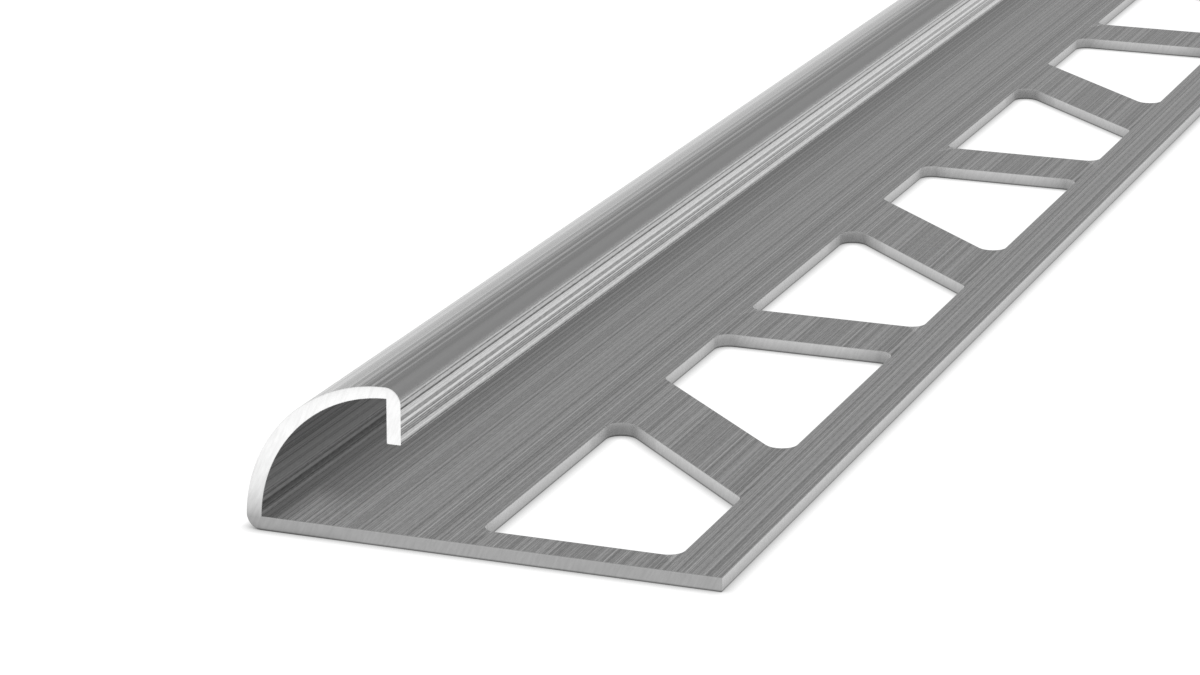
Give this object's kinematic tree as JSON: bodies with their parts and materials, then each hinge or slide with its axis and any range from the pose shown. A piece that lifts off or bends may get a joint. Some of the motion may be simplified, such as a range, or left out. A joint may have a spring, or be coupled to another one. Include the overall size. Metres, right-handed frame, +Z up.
{
  "type": "tile edge trim",
  "caption": "Metal tile edge trim: a perforated flat leg bent up into a quarter round with a short turned-down lip.",
  "frame": {"origin": "middle of the underside", "axes": "+X across the trim from the quarter round to the leg's free edge, +Y along the stock, +Z up from the underside"},
  "size_m": [0.0304, 1, 0.01],
  "materials": {
    "brushed_metal": "fine lengthwise brushed grain"
  },
  "bodies": {
    "root": {"trim_profile": "brushed_metal"}
  },
  "joints": []
}
